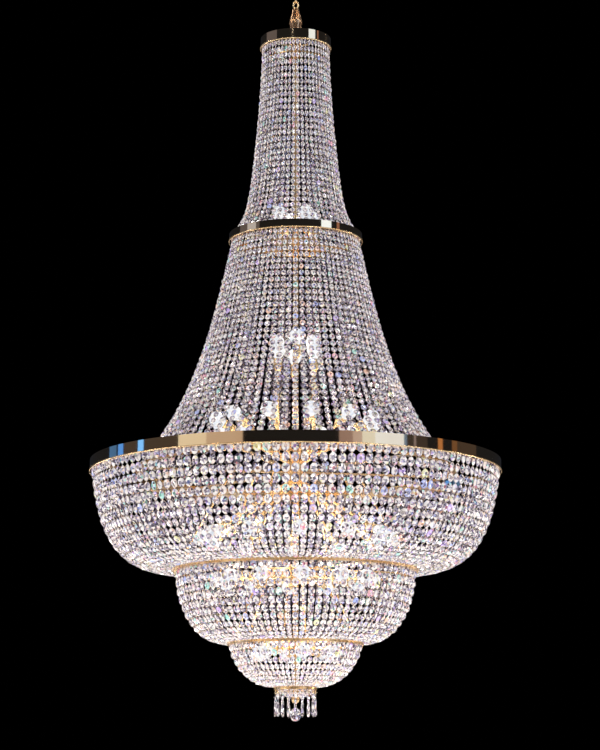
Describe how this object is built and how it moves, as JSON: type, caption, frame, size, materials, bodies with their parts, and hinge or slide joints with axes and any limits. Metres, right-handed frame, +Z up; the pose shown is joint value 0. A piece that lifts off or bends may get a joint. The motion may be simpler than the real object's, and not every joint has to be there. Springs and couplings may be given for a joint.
{
  "type": "crystal chandelier",
  "caption": "Tall basket chandelier: gold bands with curtains of cut-crystal strands, stacked bowls below, inner lamps, icicle drops and a faceted ball on a short chain.",
  "frame": {"origin": "middle of the ceiling plate's upper face, where the object hangs from", "axes": "+Z up; -Y is the side the picture shows; +X to the picture's right"},
  "size_m": [1.2022, 1.2024, 2.2951],
  "materials": {
    "gold_brass": "gold plated, satin to polished",
    "polished_gold_band": "gold plated, mirror polished",
    "screw_brass": "polished",
    "lamp_holder": "gold lacquer",
    "crystal": "clear cut crystal",
    "lamp_glass": "opal glass"
  },
  "bodies": {
    "ceiling": {"ceiling_plate": "gold_brass", "ceiling_hook": "gold_brass", "ceiling_canopy": "gold_brass", "canopy_screws": "screw_brass"},
    "link_1": {"chain_link_1": "gold_brass"},
    "link_2": {"chain_link_2": "gold_brass"},
    "link_3": {"chain_link_3": "gold_brass"},
    "chandelier": {"top_loop": "gold_brass", "leaf_finial": "gold_brass", "column": "gold_brass", "column_collars": "gold_brass", "crown_spider": "gold_brass", "neck_spider": "gold_brass", "main_spider": "gold_brass", "second_tier_spider": "gold_brass", "third_tier_spider": "gold_brass", "base_spider": "gold_brass", "skirt_ring": "gold_brass", "second_tier_ring": "gold_brass", "third_tier_ring": "gold_brass", "base_ring": "gold_brass", "tier_rods": "gold_brass", "upper_lamp_arms": "gold_brass", "middle_lamp_arms": "gold_brass", "lower_lamp_arms": "gold_brass", "lamp_hubs": "gold_brass", "base_finial": "gold_brass", "pendant_hooks": "gold_brass", "crown_band": "polished_gold_band", "neck_band": "polished_gold_band", "main_band": "polished_gold_band", "crown_strands": "crystal", "skirt_strands": "crystal", "first_tier_strands": "crystal", "second_tier_strands": "crystal", "third_tier_strands": "crystal", "dish_strands": "crystal", "lamp_sockets": "lamp_holder", "lamp_bulbs": "lamp_glass"},
    "pendant_01": {"pendant_01": "crystal"},
    "pendant_02": {"pendant_02": "crystal"},
    "pendant_03": {"pendant_03": "crystal"},
    "pendant_04": {"pendant_04": "crystal"},
    "pendant_05": {"pendant_05": "crystal"},
    "pendant_06": {"pendant_06": "crystal"},
    "pendant_07": {"pendant_07": "crystal"},
    "pendant_08": {"pendant_08": "crystal"},
    "pendant_09": {"pendant_09": "crystal"},
    "pendant_10": {"pendant_10": "crystal"},
    "pendant_11": {"pendant_11": "crystal"},
    "pendant_12": {"pendant_12": "crystal"},
    "pendant_13": {"pendant_13": "crystal"},
    "pendant_14": {"pendant_14": "crystal"},
    "pendant_15": {"pendant_15": "crystal"},
    "pendant_16": {"pendant_16": "crystal"},
    "pendant_17": {"pendant_17": "crystal"},
    "pendant_18": {"pendant_18": "crystal"},
    "ball": {"crystal_ball": "crystal"}
  },
  "joints": [
    {"name": "hook_swing", "type": "hinge", "parent": "ceiling", "child": "link_1", "pos_m": [0, 0, -0.045], "axis": [1, 0, 0], "range_deg": [-10, 10]},
    {"name": "link_1_swing", "type": "hinge", "parent": "link_1", "child": "link_2", "pos_m": [0, 0, -0.07345], "axis": [0, 1, 0], "range_deg": [-10, 10]},
    {"name": "link_2_swing", "type": "hinge", "parent": "link_2", "child": "link_3", "pos_m": [0, 0, -0.10215], "axis": [1, 0, 0], "range_deg": [-10, 10]},
    {"name": "link_3_swing", "type": "hinge", "parent": "link_3", "child": "chandelier", "pos_m": [0, 0, -0.13085], "axis": [0, 1, 0], "range_deg": [-10, 10]},
    {"name": "pendant_01_swing", "type": "hinge", "parent": "chandelier", "child": "pendant_01", "pos_m": [0.05712, 0.01007, -2.21035], "axis": [-0.1736, 0.9848, 0], "range_deg": [-15, 15]},
    {"name": "pendant_02_swing", "type": "hinge", "parent": "chandelier", "child": "pendant_02", "pos_m": [0.05023, 0.029, -2.21035], "axis": [-0.5, 0.866, 0], "range_deg": [-15, 15]},
    {"name": "pendant_03_swing", "type": "hinge", "parent": "chandelier", "child": "pendant_03", "pos_m": [0.03728, 0.04443, -2.21035], "axis": [-0.766, 0.6428, 0], "range_deg": [-15, 15]},
    {"name": "pendant_04_swing", "type": "hinge", "parent": "chandelier", "child": "pendant_04", "pos_m": [0.01984, 0.0545, -2.21035], "axis": [-0.9397, 0.342, 0], "range_deg": [-15, 15]},
    {"name": "pendant_05_swing", "type": "hinge", "parent": "chandelier", "child": "pendant_05", "pos_m": [0, 0.058, -2.21035], "axis": [-1, 0, 0], "range_deg": [-15, 15]},
    {"name": "pendant_06_swing", "type": "hinge", "parent": "chandelier", "child": "pendant_06", "pos_m": [-0.01984, 0.0545, -2.21035], "axis": [-0.9397, -0.342, 0], "range_deg": [-15, 15]},
    {"name": "pendant_07_swing", "type": "hinge", "parent": "chandelier", "child": "pendant_07", "pos_m": [-0.03728, 0.04443, -2.21035], "axis": [-0.766, -0.6428, 0], "range_deg": [-15, 15]},
    {"name": "pendant_08_swing", "type": "hinge", "parent": "chandelier", "child": "pendant_08", "pos_m": [-0.05023, 0.029, -2.21035], "axis": [-0.5, -0.866, 0], "range_deg": [-15, 15]},
    {"name": "pendant_09_swing", "type": "hinge", "parent": "chandelier", "child": "pendant_09", "pos_m": [-0.05712, 0.01007, -2.21035], "axis": [-0.1736, -0.9848, 0], "range_deg": [-15, 15]},
    {"name": "pendant_10_swing", "type": "hinge", "parent": "chandelier", "child": "pendant_10", "pos_m": [-0.05712, -0.01007, -2.21035], "axis": [0.1736, -0.9848, 0], "range_deg": [-15, 15]},
    {"name": "pendant_11_swing", "type": "hinge", "parent": "chandelier", "child": "pendant_11", "pos_m": [-0.05023, -0.029, -2.21035], "axis": [0.5, -0.866, 0], "range_deg": [-15, 15]},
    {"name": "pendant_12_swing", "type": "hinge", "parent": "chandelier", "child": "pendant_12", "pos_m": [-0.03728, -0.04443, -2.21035], "axis": [0.766, -0.6428, 0], "range_deg": [-15, 15]},
    {"name": "pendant_13_swing", "type": "hinge", "parent": "chandelier", "child": "pendant_13", "pos_m": [-0.01984, -0.0545, -2.21035], "axis": [0.9397, -0.342, 0], "range_deg": [-15, 15]},
    {"name": "pendant_14_swing", "type": "hinge", "parent": "chandelier", "child": "pendant_14", "pos_m": [0, -0.058, -2.21035], "axis": [1, 0, 0], "range_deg": [-15, 15]},
    {"name": "pendant_15_swing", "type": "hinge", "parent": "chandelier", "child": "pendant_15", "pos_m": [0.01984, -0.0545, -2.21035], "axis": [0.9397, 0.342, 0], "range_deg": [-15, 15]},
    {"name": "pendant_16_swing", "type": "hinge", "parent": "chandelier", "child": "pendant_16", "pos_m": [0.03728, -0.04443, -2.21035], "axis": [0.766, 0.6428, 0], "range_deg": [-15, 15]},
    {"name": "pendant_17_swing", "type": "hinge", "parent": "chandelier", "child": "pendant_17", "pos_m": [0.05023, -0.029, -2.21035], "axis": [0.5, 0.866, 0], "range_deg": [-15, 15]},
    {"name": "pendant_18_swing", "type": "hinge", "parent": "chandelier", "child": "pendant_18", "pos_m": [0.05712, -0.01007, -2.21035], "axis": [0.1736, 0.9848, 0], "range_deg": [-15, 15]},
    {"name": "ball_swing", "type": "hinge", "parent": "chandelier", "child": "ball", "pos_m": [0, 0, -2.24957], "axis": [1, 0, 0], "range_deg": [-15, 15]}
  ]
}
